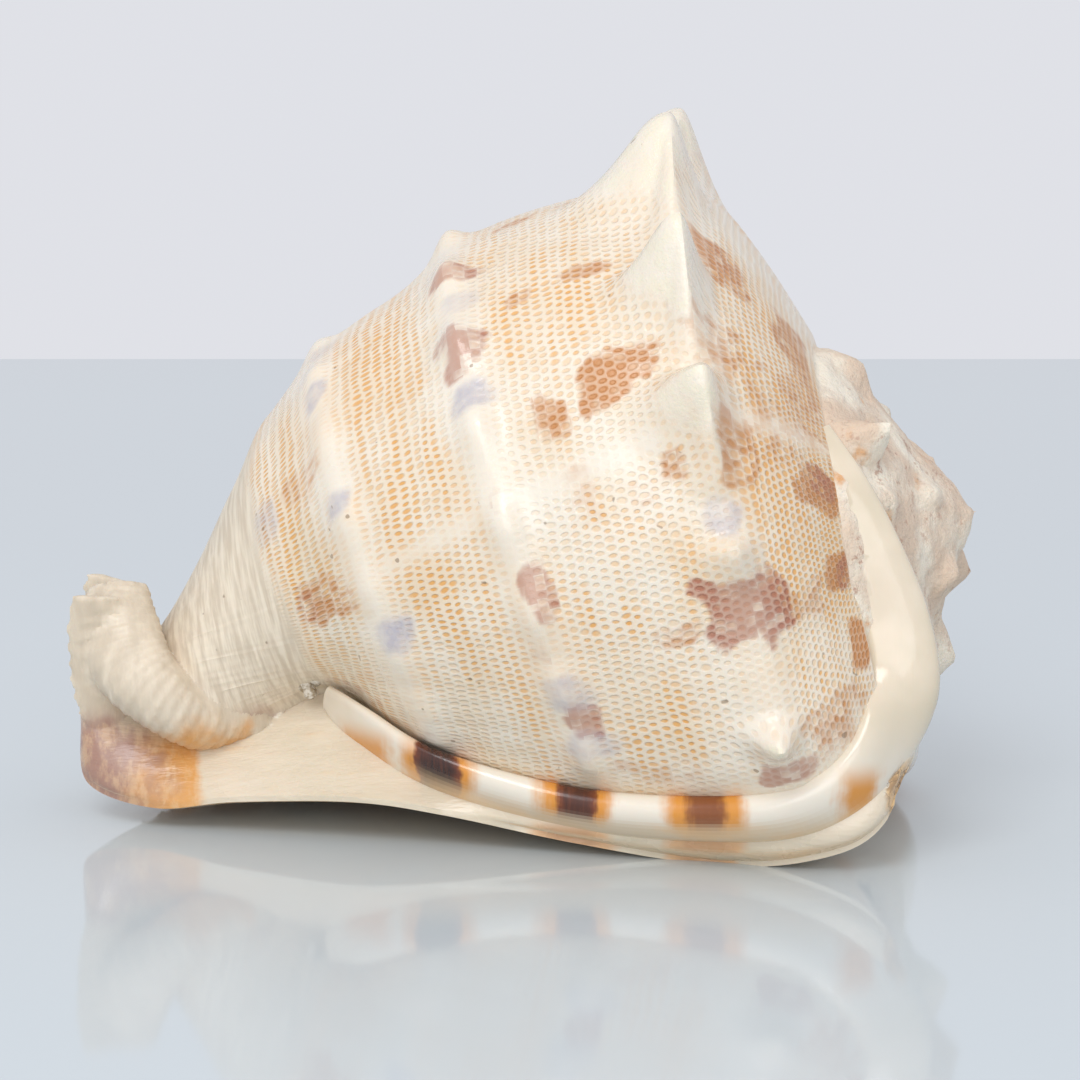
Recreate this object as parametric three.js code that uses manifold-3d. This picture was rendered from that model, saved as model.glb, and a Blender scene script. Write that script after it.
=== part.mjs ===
// A horned helmet shell lying on its aperture, spire towards +X and outer lip on the +Y side.
// Millimetres, +Z up. The shell is laid out around its coiling axis in a working frame, and moved
// at the end so that the middle of the box around it stands at the origin, on z = 0.
import * as THREE from 'three';
import { mergeVertices } from 'three/addons/utils/BufferGeometryUtils.js';
import Module from 'manifold-3d';

const wasm = await Module();
wasm.setup();

const { degToRad, lerp, smoothstep } = THREE.MathUtils;

// Coiling axis: where it starts at the canal end, how far it rises and turns towards the near side.
const axisStart = new THREE.Vector3(-99, 12, 30);
const axisTilt = degToRad(12.5);
const axisTurn = degToRad(5);

const wall = 4.5; // thickness of the body whorl
const tableTrim = 40; // depth of the block that trims the resting faces flat
const nearEdge = 132; // where the body whorl meets the varix band, degrees from the top
const farEdge = -136; // where it meets the outer lip
const gap = 0.3; // clearance between the shell and the grit
const rimThickness = 1.4; // thin edge of the parietal shield
const shieldSwell = 2; // how far the shield bulges between its rim and its root
const canalSweep = degToRad(100); // half of the angle the gutter wraps round its floor line
const knobStart = -101.5; // the first knob of each row, degrees from the top

// Body whorl: place along the axis, then the radius at the top, above the band and above the lip.
const whorlProfile = [
  [184, 50, 45, 50],
  [176, 71, 57, 66],
  [167, 87, 63, 77],
  [158, 93, 65, 80],
  [134, 94, 62, 74],
  [108, 91, 55, 64],
  [88, 81.5, 46, 57],
  [70, 73, 33, 51],
  [54, 61, 15, 44],
  [38, 42, 18, 36],
  [24, 24, 24, 28],
  [12, 11, 18, 20],
];

// Extra radius of the whorl where it rolls over towards the band: place along the axis, then height.
const whorlSwelling = [
  [184, 13],
  [176, 12],
  [158, 9],
  [134, 5],
  [108, 2.5],
  [54, 0],
];
const swellingRange = [92, 126]; // degrees from the top over which it grows

// Spire and columella, one solid of revolution: place along the axis and radius.
const spireProfile = [
  [214, 0],
  [211, 7],
  [204, 17],
  [198, 27],
  [192, 38],
  [184, 47.5],
  [175, 47],
  [166, 36],
  [150, 25],
  [120, 18],
  [90, 14],
  [60, 11],
  [30, 8],
  [14, 5],
  [10, 0],
];

// Shoulder horns: degrees from the top towards the near side, height and radius of the foot.
const shoulderHorns = [
  [114, 7, 8],
  [79, 6, 8],
  [56, 12, 11],
  [36, 12, 11],
  [10, 20, 16],
  [-14, 19, 15],
  [-40, 20, 15],
  [-66, 18, 14],
  [-92, 14, 11],
  [-116, 9, 9],
];
const shoulderPlace = 160;

// Older horns on the spire: degrees, place along the axis, height and radius of the foot.
const spireHorns = [
  [-13, 190, 9, 5],
  [-60, 192, 6, 5],
  [-105, 193, 6, 5],
  [-150, 195, 5, 5],
  [172, 197, 7, 4],
  [125, 193, 4, 4],
  [-20, 205, 4, 3],
  [-161, 204, 7, 4],
];

// Low knobs: place along the axis at the top and near the band, height and spacing in degrees.
const knobRows = [
  { top: 103, low: 116, height: 4, spacing: 19.3 },
  { top: 66, low: 79, height: 3, spacing: 19.3 },
];

// Parietal shield and varix band, station by station from the canal to the spire: the thin rim, the
// crest of the band, the root buried in the whorl and the inner edge beside the aperture.
const shieldStations = [
  { rim: [-108, -1, 22], crest: [-104, -4, 30], root: [-92, 6, 32], inner: [-98, 4, 12] },
  { rim: [-105, -6, 8], crest: [-97, -9, 20], root: [-84, 6, 34], inner: [-90, 8, 3] },
  { rim: [-88, -15, 5], crest: [-82, -12, 18], root: [-74, 8, 34], inner: [-76, 11, 3] },
  { rim: [-69, -21, 8], crest: [-64, -14, 20], root: [-58, 8, 36], inner: [-60, 12, 3] },
  { rim: [-40, -29, 10], crest: [-38, -20, 25], root: [-40, 2, 38], inner: [-34, 13, 3] },
  { rim: [-18, -34, 8], crest: [-18, -30, 18], root: [-20, -8, 34], inner: [-14, 14, 3] },
  { rim: [12, -40, 3], crest: [11, -44, 14], root: [10, -20, 30], inner: [10, 15, 3] },
  { rim: [44, -45, -1.2], crest: [42, -54, 14], root: [40, -26, 36], inner: [36, 15, 3] },
  { rim: [66, -54, 2], crest: [62, -61, 18], root: [58, -28, 44], inner: [56, 15, 4] },
  { rim: [82, -58, 10], crest: [76, -62, 24], root: [66, -26, 52], inner: [70, 10, 8] },
  { rim: [93, -52, 28], crest: [86, -53, 40], root: [70, -20, 58], inner: [76, 0, 26] },
  { rim: [94, -44, 46], crest: [86, -46, 56], root: [70, -18, 66], inner: [78, -8, 46] },
  { rim: [87, -38, 66], crest: [83, -40, 72], root: [68, -16, 76], inner: [74, -12, 62] },
  { rim: [79, -30, 94], crest: [78, -30, 95], root: [66, -10, 86], inner: [70, -10, 80] },
];

// Outer lip: centre line, half width and half height of the thick roll.
const lipStations = [
  { centre: [-92, 27, 16], halfWidth: 7, halfHeight: 8 },
  { centre: [-76, 32, 10], halfWidth: 10, halfHeight: 10 },
  { centre: [-52, 42, 8.4], halfWidth: 15, halfHeight: 9.5 },
  { centre: [-24, 52, 8.4], halfWidth: 19, halfHeight: 9.5 },
  { centre: [6, 58, 8.4], halfWidth: 21, halfHeight: 9.5 },
  { centre: [34, 59, 8.4], halfWidth: 21, halfHeight: 9.5 },
  { centre: [58, 53, 8.4], halfWidth: 20, halfHeight: 9.5 },
  { centre: [76, 38, 10], halfWidth: 18, halfHeight: 10 },
  { centre: [84, 16, 14], halfWidth: 15, halfHeight: 11 },
  { centre: [82, -4, 22], halfWidth: 12, halfHeight: 12 },
];
const lipTeeth = [-26, -12, 2, 16, 30, 43]; // places along X
const toothRadii = [4, 6.5, 5];

// Canal: a gutter that turns up at its end. Its floor line, then the flare of its two walls.
const canalFloor = [
  [-62, 16, 17],
  [-78, 15, 15],
  [-92, 12, 19],
  [-99, 9, 32],
  [-100, 6, 45],
  [-99, 3, 57],
];
const canalWidth = 15;
const canalDepth = 15;
const canalWall = 4;

// Fasciole: the ribbed column wound round the neck, with its radius along the way.
const fasciolePath = [
  [-97, -1, 56],
  [-95, -8, 46],
  [-88, -14, 34],
  [-79, -16, 25],
  [-70, -8, 22],
];
const fascioleRadii = [7, 9, 9, 8, 5];

const gritPlace = [-52.5, -6.5, 34];
const gritGrains = [
  [0, 0, 0, 2.2],
  [2.4, -0.6, 1.4, 1.8],
  [1.2, -1.2, -1.9, 1.6],
]; // places of the grains in the cluster, then their radius

// Fineness of the faces: steps along each part, then round or across it, then through it.
const whorlSteps = [17, 31, 1];
const spireSteps = 16;
const hornSides = 7;
const shieldSteps = [26, 4, 2];
const lipSteps = [20, 12];
const toothSteps = [7, 4];
const canalSteps = [10, 8, 1];
const fascioleSteps = [10, 8];

const ivory = new THREE.MeshStandardMaterial({ color: 0xefe3cf, roughness: 0.35, metalness: 0 });
const gritGrey = new THREE.MeshStandardMaterial({ color: 0xc4b8a2, roughness: 0.9, metalness: 0 });

const axisAlong = new THREE.Vector3(
  Math.cos(axisTilt) * Math.cos(axisTurn),
  -Math.cos(axisTilt) * Math.sin(axisTurn),
  Math.sin(axisTilt),
);
const axisNear = new THREE.Vector3(-Math.sin(axisTurn), -Math.cos(axisTurn), 0);
const axisUp = new THREE.Vector3().crossVectors(axisNear, axisAlong);

// A point from its place along the axis, its distance from it and its angle from the top.
function aroundAxis(place, radius, degrees) {
  const angle = degToRad(degrees);
  return axisStart.clone()
    .addScaledVector(axisAlong, place)
    .addScaledVector(axisUp, radius * Math.cos(angle))
    .addScaledVector(axisNear, radius * Math.sin(angle));
}

// Smooth curve through rows of numbers, read at 0 to 1.
function smoothRow(rows, share) {
  const at = share * (rows.length - 1);
  const k = Math.min(Math.floor(at), rows.length - 2);
  const x = at - k;
  const before = rows[Math.max(k - 1, 0)];
  const after = rows[Math.min(k + 2, rows.length - 1)];
  return rows[k].map((a, i) => {
    const b = rows[k + 1][i];
    const slopeA = (b - before[i]) / 2;
    const slopeB = (after[i] - a) / 2;
    return a + x * (slopeA + x * (3 * (b - a) - 2 * slopeA - slopeB + x * (2 * (a - b) + slopeA + slopeB)));
  });
}

// Radius of the body whorl's outer face, and its place along the axis.
function whorlAt(share, degrees) {
  const [place, top, near, far] = smoothRow(whorlProfile, share);
  const toNear = smoothstep(degrees, -10, nearEdge);
  const toFar = smoothstep(-degrees, 20, -farEdge);
  const swelling = swellingAt(place) * smoothstep(degrees, ...swellingRange);
  return [place, top + (near - top) * toNear + (far - top) * toFar + swelling];
}

function swellingAt(place) {
  const last = whorlSwelling.length - 1;
  if (place >= whorlSwelling[0][0]) return whorlSwelling[0][1];
  if (place <= whorlSwelling[last][0]) return whorlSwelling[last][1];
  const k = whorlSwelling.findIndex(([at]) => at < place);
  const [above, below] = [whorlSwelling[k - 1], whorlSwelling[k]];
  return lerp(below[1], above[1], (place - below[0]) / (above[0] - below[0]));
}

function solid(geometry) {
  const bare = geometry.index ? geometry.toNonIndexed() : geometry.clone();
  bare.deleteAttribute('normal');
  bare.deleteAttribute('uv');
  const merged = mergeVertices(bare, 1e-3);
  const made = new wasm.Manifold(new wasm.Mesh({
    numProp: 3,
    vertProperties: new Float32Array(merged.attributes.position.array),
    triVerts: new Uint32Array(merged.index.array),
  }));
  return made.volume() < 0 ? new wasm.Manifold(flipped(merged)) : made;
}

function flipped(merged) {
  const turned = new Uint32Array(merged.index.array);
  for (let i = 0; i < turned.length; i += 3) {
    [turned[i], turned[i + 1]] = [turned[i + 1], turned[i]];
  }
  return new wasm.Mesh({
    numProp: 3,
    vertProperties: new Float32Array(merged.attributes.position.array),
    triVerts: turned,
  });
}

// Bends a unit box with grid faces: shape gives the point for 0 to 1 along each of its sides.
function bentBox(alongSteps, acrossSteps, throughSteps, shape) {
  const box = new THREE.BoxGeometry(1, 1, 1, alongSteps, acrossSteps, throughSteps);
  return bend(box, (x, y, z) => shape(x + 0.5, y + 0.5, z + 0.5));
}

// Bends a unit cylinder: shape gives the point for 0 to 1 along it, its angle and its radius.
function bentTube(alongSteps, roundSteps, shape) {
  const tube = new THREE.CylinderGeometry(1, 1, 1, roundSteps, alongSteps);
  return bend(tube, (x, y, z) => shape(y + 0.5, Math.atan2(z, x), Math.hypot(x, z)));
}

function bend(geometry, shape) {
  const places = geometry.attributes.position;
  for (let i = 0; i < places.count; i += 1) {
    const point = shape(places.getX(i), places.getY(i), places.getZ(i));
    places.setXYZ(i, point.x, point.y, point.z);
  }
  return solid(geometry);
}

function bodyWhorl() {
  return bentBox(...whorlSteps, (share, turn, depth) => {
    const degrees = lerp(farEdge, nearEdge, turn);
    const [place, radius] = whorlAt(share, degrees);
    const inner = Math.max(radius - wall, 2.5);
    return aroundAxis(place - (1 - depth) * wall * 0.6, depth > 0.5 ? radius : inner, degrees);
  });
}

function spireAndColumella() {
  const outline = [];
  for (let i = 0; i <= spireSteps; i += 1) {
    const [place, radius] = smoothRow(spireProfile, i / spireSteps);
    outline.push(new THREE.Vector2(i === 0 || i === spireSteps ? 0 : Math.max(radius, 0.5), place));
  }
  return bend(new THREE.LatheGeometry(outline, spireSteps), (x, place, z) => {
    return aroundAxis(place, Math.hypot(x, z), THREE.MathUtils.radToDeg(Math.atan2(x, z)));
  });
}

// A cone from inside the wall to its tip, leaning towards the spire. Blunt is its tip's share of the foot.
function horn(place, degrees, footRadius, { height, radius, lean = 0, blunt = 0.18 }) {
  const foot = aroundAxis(place, footRadius - wall * 0.8, degrees);
  const tip = aroundAxis(place + lean, footRadius + height, degrees);
  const cone = new THREE.CylinderGeometry(radius * blunt, radius, foot.distanceTo(tip), hornSides, 1);
  const outward = tip.clone().sub(foot).normalize();
  cone.applyQuaternion(new THREE.Quaternion().setFromUnitVectors(new THREE.Vector3(0, 1, 0), outward));
  cone.translate(...foot.add(tip).multiplyScalar(0.5).toArray());
  return solid(cone);
}

function placeToShare(place) {
  let low = 0;
  let high = 1;
  for (let i = 0; i < 30; i += 1) {
    const middle = (low + high) / 2;
    if (smoothRow(whorlProfile, middle)[0] > place) low = middle;
    else high = middle;
  }
  return low;
}

function horns() {
  const made = shoulderHorns.map(([degrees, height, radius]) => {
    const [, foot] = whorlAt(placeToShare(shoulderPlace), degrees);
    return horn(shoulderPlace, degrees, foot, { height, radius, lean: height * 0.15 });
  });
  for (const [degrees, place, height, radius] of spireHorns) {
    made.push(horn(place, degrees, spireRadius(place), { height, radius, lean: height * 0.8 }));
  }
  return made;
}

function spireRadius(place) {
  let share = 0;
  while (share < 1 && smoothRow(spireProfile, share)[0] > place) share += 0.002;
  return smoothRow(spireProfile, share)[1];
}

function knobs() {
  const made = [];
  for (const { top, low, height, spacing } of knobRows) {
    for (let degrees = knobStart; degrees < nearEdge - 8; degrees += spacing) {
      const place = lerp(top, low, smoothstep(degrees, -10, nearEdge));
      const [, foot] = whorlAt(placeToShare(place), degrees);
      const size = height * lerp(1, 0.6, smoothstep(degrees, 0, nearEdge));
      made.push(horn(place, degrees, foot, { height: size, radius: size * 2, blunt: 0.5 }));
    }
  }
  return made;
}

function shieldAndBand() {
  const rows = shieldStations.map(({ rim, crest, root, inner }) => [...rim, ...crest, ...root, ...inner]);
  return bentBox(...shieldSteps, (along, across, through) => {
    const row = smoothRow(rows, along);
    const [rim, crest, root, inner] = [0, 3, 6, 9].map((i) => new THREE.Vector3(...row.slice(i, i + 3)));
    const upper = new THREE.QuadraticBezierCurve3(rim, overshoot(rim, crest, root), root).getPoint(across);
    const lower = rim.clone().lerp(inner, across);
    upper.addScaledVector(crest.clone().sub(root).normalize(), shieldSwell * Math.sin(Math.PI * across));
    const edge = new THREE.Vector3(0, 0, rimThickness).multiplyScalar(1 - across);
    return lower.lerp(upper.add(edge), through);
  });
}

// The control point that brings a quadratic curve from a to c through b at its middle.
function overshoot(a, b, c) {
  return b.clone().multiplyScalar(2).addScaledVector(a, -0.5).addScaledVector(c, -0.5);
}

function outerLip() {
  const rows = lipStations.map(({ centre, halfWidth, halfHeight }) => [...centre, halfWidth, halfHeight]);
  return bentTube(...lipSteps, (along, angle, radius) => {
    const [x, y, z, halfWidth, halfHeight] = smoothRow(rows, along);
    const ahead = smoothRow(rows, Math.min(along + 0.02, 1));
    const behind = smoothRow(rows, Math.max(along - 0.02, 0));
    const heading = Math.atan2(ahead[1] - behind[1], ahead[0] - behind[0]);
    const across = squared(Math.cos(angle)) * halfWidth * radius;
    const rise = squared(Math.sin(angle)) * halfHeight * radius;
    return new THREE.Vector3(x - across * Math.sin(heading), y + across * Math.cos(heading), z + rise);
  });
}

// Turns a circle's coordinate into that of a rounded square.
function squared(value) {
  return Math.sign(value) * Math.abs(value) ** 0.75;
}

function teeth() {
  const rows = lipStations.map(({ centre, halfWidth }) => [...centre, halfWidth]);
  return lipTeeth.map((place) => {
    let share = 0;
    while (smoothRow(rows, share)[0] < place) share += 0.005;
    const [x, y, z, halfWidth] = smoothRow(rows, share);
    const tooth = new THREE.SphereGeometry(1, ...toothSteps);
    tooth.scale(...toothRadii);
    tooth.translate(x, y - halfWidth + 1, z - 2);
    return solid(tooth);
  });
}

function canal() {
  const path = new THREE.CatmullRomCurve3(canalFloor.map((p) => new THREE.Vector3(...p)));
  return bentBox(...canalSteps, (along, across, depth) => {
    const floor = path.getPoint(along);
    const heading = path.getTangent(along);
    const outward = new THREE.Vector3(-heading.z, 0, heading.x).normalize();
    const side = new THREE.Vector3(0, 1, 0);
    const angle = lerp(-1, 1, across) * canalSweep;
    const width = canalWidth - (1 - depth) * canalWall;
    const deep = canalDepth - (1 - depth) * canalWall;
    return floor.addScaledVector(side, Math.sin(angle) * width)
      .addScaledVector(outward, deep * (1 - Math.cos(angle)) * 0.8 - depth * canalWall);
  });
}

function fasciole() {
  const path = new THREE.CatmullRomCurve3(fasciolePath.map((p) => new THREE.Vector3(...p)));
  const radii = fascioleRadii.map((r) => [r]);
  return bentTube(...fascioleSteps, (along, angle, radius) => {
    const heading = path.getTangent(along);
    const side = new THREE.Vector3(0, 1, 0).cross(heading).normalize();
    const other = heading.clone().cross(side);
    const size = radius * smoothRow(radii, along)[0];
    return path.getPoint(along)
      .addScaledVector(side, Math.cos(angle) * size)
      .addScaledVector(other, Math.sin(angle) * size);
  });
}

function tableBlock() {
  const block = new THREE.BoxGeometry(400, 400, tableTrim);
  block.translate(0, 0, -tableTrim / 2);
  return solid(block);
}

function gritCluster(growth) {
  return gritGrains
    .map(([x, y, z, radius]) => {
      const grain = new THREE.IcosahedronGeometry(radius + growth, 0);
      grain.translate(gritPlace[0] + x, gritPlace[1] + y, gritPlace[2] + z);
      return solid(grain);
    })
    .reduce((all, grain) => all.add(grain));
}

function meshOf(name, manifold, material) {
  const made = manifold.getMesh();
  const geometry = new THREE.BufferGeometry();
  geometry.setAttribute('position', new THREE.BufferAttribute(made.vertProperties, 3));
  geometry.setIndex(new THREE.BufferAttribute(made.triVerts, 1));
  geometry.computeVertexNormals();
  const mesh = new THREE.Mesh(geometry, material);
  mesh.name = name;
  return mesh;
}

const pieces = [
  bodyWhorl(),
  spireAndColumella(),
  ...horns(),
  ...knobs(),
  shieldAndBand(),
  outerLip(),
  ...teeth(),
  canal(),
  fasciole(),
];
const shell = pieces
  .reduce((all, piece) => all.add(piece))
  .subtract(tableBlock());
const grit = gritCluster(0);

const box = shell.boundingBox();
const group = new THREE.Group();
group.add(meshOf('shell', shell.subtract(gritCluster(gap)), ivory));
group.add(meshOf('lodged_grit', grit, gritGrey));
group.position.set(-(box.min[0] + box.max[0]) / 2, -(box.min[1] + box.max[1]) / 2, -box.min[2]);

export default group;
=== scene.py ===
import math

import bmesh
import bpy
import numpy as np
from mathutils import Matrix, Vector, noise


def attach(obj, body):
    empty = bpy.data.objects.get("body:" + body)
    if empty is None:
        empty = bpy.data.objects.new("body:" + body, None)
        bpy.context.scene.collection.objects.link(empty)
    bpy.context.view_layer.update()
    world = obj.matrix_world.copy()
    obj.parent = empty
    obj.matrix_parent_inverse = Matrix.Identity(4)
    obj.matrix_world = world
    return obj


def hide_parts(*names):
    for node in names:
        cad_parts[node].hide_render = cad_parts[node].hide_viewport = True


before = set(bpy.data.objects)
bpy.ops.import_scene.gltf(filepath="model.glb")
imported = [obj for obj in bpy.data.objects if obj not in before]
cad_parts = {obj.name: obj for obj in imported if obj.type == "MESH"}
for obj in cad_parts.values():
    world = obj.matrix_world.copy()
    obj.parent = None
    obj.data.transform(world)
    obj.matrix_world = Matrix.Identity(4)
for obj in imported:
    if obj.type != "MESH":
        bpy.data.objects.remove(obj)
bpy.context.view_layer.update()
print("frame loaded")

mm = 0.001
workShift = (-0.34, -8.56, 0.0)  # from the layout below to the frame, mm

# The coiling axis starts at the canal end, rises to the spire and turns to the near side.
axis = {"start": (-99.0, 12.0, 30.0), "tilt": 12.5, "turn": 5.0}

tilt, turn = math.radians(axis["tilt"]), math.radians(axis["turn"])
axisStart = np.array(axis["start"])
axisAlong = np.array([math.cos(tilt) * math.cos(turn), -math.cos(tilt) * math.sin(turn), math.sin(tilt)])
axisNear = np.array([-math.sin(turn), -math.cos(turn), 0.0])
axisUp = np.cross(axisNear, axisAlong)

slots = ("pitted", "callus", "varix", "spire", "canal", "inside")


# shape helpers that several parts share

def smoothRows(rows, share):
    # a smooth curve through rows of numbers, read at 0 to 1
    rows = np.array(rows, float)
    last = len(rows) - 1
    at = np.clip(share, 0, 1) * last
    k = np.minimum(np.floor(at).astype(int), last - 1)
    x = (at - k)[:, None]
    a, b = rows[k], rows[k + 1]
    slopeA = (b - rows[np.maximum(k - 1, 0)]) / 2
    slopeB = (rows[np.minimum(k + 2, last)] - a) / 2
    return a + x * (slopeA + x * (3 * (b - a) - 2 * slopeA - slopeB + x * (2 * (a - b) + slopeA + slopeB)))


def smoothStep(x, low, high):
    t = np.clip((x - low) / (high - low), 0, 1)
    return t * t * (3 - 2 * t)


def bump(x, width):
    return np.exp(-((x / width) ** 2))


def wander(points, size, seed=0.0):
    # smooth noise from about -1 to 1 at these points, with features of this size
    return np.array([noise.noise(Vector(p) / size + Vector((seed, seed * 1.7, -seed))) for p in points])


def aroundAxis(place, radius, degrees):
    angle = np.radians(degrees)[:, None]
    outward = np.cos(angle) * axisUp + np.sin(angle) * axisNear
    return axisStart + np.outer(place, axisAlong) + radius[:, None] * outward


def fromPoints(points):
    # place along the axis, radius, and degrees from the top towards the near side
    offset = points - axisStart
    up, near = offset @ axisUp, offset @ axisNear
    return offset @ axisAlong, np.hypot(up, near), np.degrees(np.arctan2(near, up))


def unit(vectors):
    return vectors / np.maximum(np.linalg.norm(vectors, axis=1, keepdims=True), 1e-9)


def toMesh(bm, name):
    mesh = bpy.data.meshes.new(name)
    bm.to_mesh(mesh)
    bm.free()
    return mesh


def addObject(name, data):
    made = bpy.data.objects.new(name, data)
    bpy.context.scene.collection.objects.link(made)
    return made


def finishMesh(bm, name, slotName):
    bmesh.ops.remove_doubles(bm, verts=bm.verts, dist=1e-6)
    openEdges = [e for e in bm.edges if e.is_boundary]
    if openEdges:
        bmesh.ops.holes_fill(bm, edges=openEdges, sides=0)
    bmesh.ops.triangulate(bm, faces=[f for f in bm.faces if len(f.verts) > 4])
    bmesh.ops.recalc_face_normals(bm, faces=bm.faces)
    for face in bm.faces:
        face.material_index = slots.index(slotName)
        face.smooth = True
    mesh = toMesh(bm, name)
    for material in materials.values():
        mesh.materials.append(material)
    return addObject(name, mesh)


def setPoints(bm, points):
    for vert, point in zip(bm.verts, (points + workShift) * mm):
        vert.co = point


def meshPoints(mesh):
    # points in the layout's own place, mm
    flat = np.empty(len(mesh.vertices) * 3)
    mesh.vertices.foreach_get("co", flat)
    return flat.reshape(-1, 3) / mm - workShift


def combine(target, tool, operation):
    made = target.modifiers.new(tool.name, "BOOLEAN")
    made.operation = operation
    made.solver = "MANIFOLD"
    made.object = tool
    made.material_mode = "INDEX"


def bakeMesh(piece):
    depsgraph = bpy.context.evaluated_depsgraph_get()
    return bpy.data.meshes.new_from_object(piece.evaluated_get(depsgraph))


def lofted(name, slotName, aroundSteps, alongSteps, shape):
    # a grid rolled up into a closed tube, with its two ends filled
    bm = bmesh.new()
    bmesh.ops.create_grid(bm, x_segments=aroundSteps, y_segments=alongSteps, size=0.5)
    around = np.array([v.co.x for v in bm.verts]) + 0.5
    along = np.array([v.co.y for v in bm.verts]) + 0.5
    setPoints(bm, shape(around, along))
    return finishMesh(bm, name, slotName)


# the body whorl with its horns and cords, and the hollow and the mouth cut from it

whorl = {
    # place along the axis, radius at the top, above the varix band and above the outer lip
    "profile": [
        (184, 50, 45, 50), (176, 71, 57, 66), (167, 87, 63, 77), (158, 93, 65, 80),
        (134, 93.5, 62, 74), (108, 90, 55, 64), (88, 80.5, 46, 57), (70, 72.5, 33, 51),
        (54, 60.5, 15, 44), (38, 42, 18, 36), (24, 24, 24, 28), (12, 11, 18, 20),
    ],
    # extra radius over these degrees, where the whorl rolls over towards the band: place, height
    "swellingRange": (92, 126),
    "swelling": [(187, 14), (176, 12), (167, 10), (158, 9), (134, 5), (108, 2.5), (70, 0.8), (54, 0)],
    # degrees where the sides begin to flatten, where they end, and where they close under the shell
    "nearStart": -10, "nearEdge": 132, "farStart": -20, "farEdge": -136, "closing": (137, 180),
    "shoulder": 160, "ridgeHeight": 1.2, "ridgeWidth": 9,
    # degrees, height, foot towards the canal, foot towards the spire, foot along the growth
    "horns": [
        (113, 8, 10, 8, 8), (79, 5.6, 12, 7, 9), (54, 14.6, 18, 8, 14), (33, 19, 20, 7, 15),
        (7, 18.5, 31, 8, 19), (-16, 19, 28, 10, 18), (-41, 21, 30, 10, 19), (-67, 17, 26, 10, 17),
        (-92, 13, 22, 9, 15), (-116, 8.5, 16, 8, 13),
    ],
    "hornPower": 1.9, "hornBlunt": 0.85, "hornLean": 0.16,
    # keel down a horn: share of its height, width towards the canal and towards the spire
    "keel": (0.92, 5.2, 3.0),
    # cords: place at the top and near the band, knob height, knob spacing in degrees, cord height
    "cords": [
        (103, 116, 3.4, 17.0, 1.3), (66, 79, 2.2, 18.0, 1.1), (47, 57, 0.8, 20.0, 0.6),
    ],
    "aroundSteps": 300, "alongSteps": 190,
    "wall": 4.5, "hollowFloor": 16,
}


def whorlRadius(share, degrees):
    rows = smoothRows(whorl["profile"], share)
    toNear = smoothStep(degrees, whorl["nearStart"], whorl["nearEdge"])
    toFar = smoothStep(-degrees, -whorl["farStart"], -whorl["farEdge"])
    radius = rows[:, 1] + (rows[:, 2] - rows[:, 1]) * toNear + (rows[:, 3] - rows[:, 1]) * toFar
    places, swells = zip(*reversed(whorl["swelling"]))
    radius = radius + np.interp(rows[:, 0], places, swells) * smoothStep(degrees, *whorl["swellingRange"])
    # both edges draw in to one line under the shell
    close = smoothStep(np.abs(degrees), *whorl["closing"])
    return rows[:, 0], radius + (np.minimum(rows[:, 2], rows[:, 3]) * 0.9 - radius) * close


def cordPlace(cord, degrees):
    top, low = cord[0], cord[1]
    return top + (low - top) * smoothStep(degrees, whorl["nearStart"], whorl["nearEdge"])


def hornShape(place, degrees, radius):
    # height that the shoulder horns add, each a blunt peak with a keel down its older side
    total = np.zeros_like(place)
    across = place - whorl["shoulder"]
    keelShare, keelCanal, keelSpire = whorl["keel"]
    for at, height, footCanal, footSpire, footGrowth in whorl["horns"]:
        growth = np.radians(degrees - at) * radius
        foot = np.where(across < 0, footCanal, footSpire)
        length = np.where(growth > 0, footGrowth * 1.25, footGrowth * 0.6)
        d = np.sqrt((across / foot) ** 2 + (growth / length) ** 2 + 0.006) - 0.0775
        peak = np.clip(1 - d, 0, 1) ** whorl["hornPower"]
        peak = 1.22 * peak / (1 + (peak / whorl["hornBlunt"]) ** 6) ** (1 / 6)
        slope = np.clip(1.12 - growth / (1.35 * footGrowth), 0, 1) * smoothStep(growth, -4, 0.5)
        keel = keelShare * bump(across, np.where(across < 0, keelCanal, keelSpire))
        keel = keel * slope * smoothStep(height, 7, 14)
        total = np.maximum(total, height * np.maximum(peak, keel))
    return total


def whorlRelief(place, degrees, radius):
    relief = hornShape(place, degrees, radius)
    lower = smoothStep(degrees, 0, 120)
    relief += whorl["ridgeHeight"] * bump(place - whorl["shoulder"], whorl["ridgeWidth"]) * (1 - 0.5 * lower)
    for cord in whorl["cords"]:
        across = place - cordPlace(cord, degrees)
        phase = (degrees + 1.5) / cord[3]
        growth = (phase - np.round(phase)) * np.radians(cord[3]) * radius
        fade = 1 - 0.6 * lower
        knob = cord[2] * fade * bump(across, 4.6) * bump(growth, 6.0)
        relief += np.maximum(knob, 0) + cord[4] * bump(across, 4.2)
    return relief


def makeBodyWhorl():
    def shape(around, along):
        edges = [0, 0.035, 0.965, 1]  # a few steps close the whorl underneath
        degrees = np.interp(around, edges, [-180, whorl["farEdge"], whorl["nearEdge"], 180])
        place, radius = whorlRadius(along, degrees)
        base = aroundAxis(place, radius, degrees)
        relief = whorlRelief(place, degrees, radius)
        shown = smoothStep(degrees, -134, -122) * smoothStep(-degrees, -128, -120)
        uneven = 0.9 * wander(base, 42) + 0.35 * wander(base, 15, 3.1)
        growthLines = 0.22 * wander(np.stack([degrees * 1.5, place * 0.03, place * 0], 1), 2.2, 5.0)
        lean = hornShape(place, degrees, radius) * whorl["hornLean"]
        return aroundAxis(place + lean, radius + relief * shown + (uneven + growthLines) * shown, degrees)
    return lofted("bodyWhorl", "pitted", whorl["aroundSteps"], whorl["alongSteps"], shape)


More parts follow.
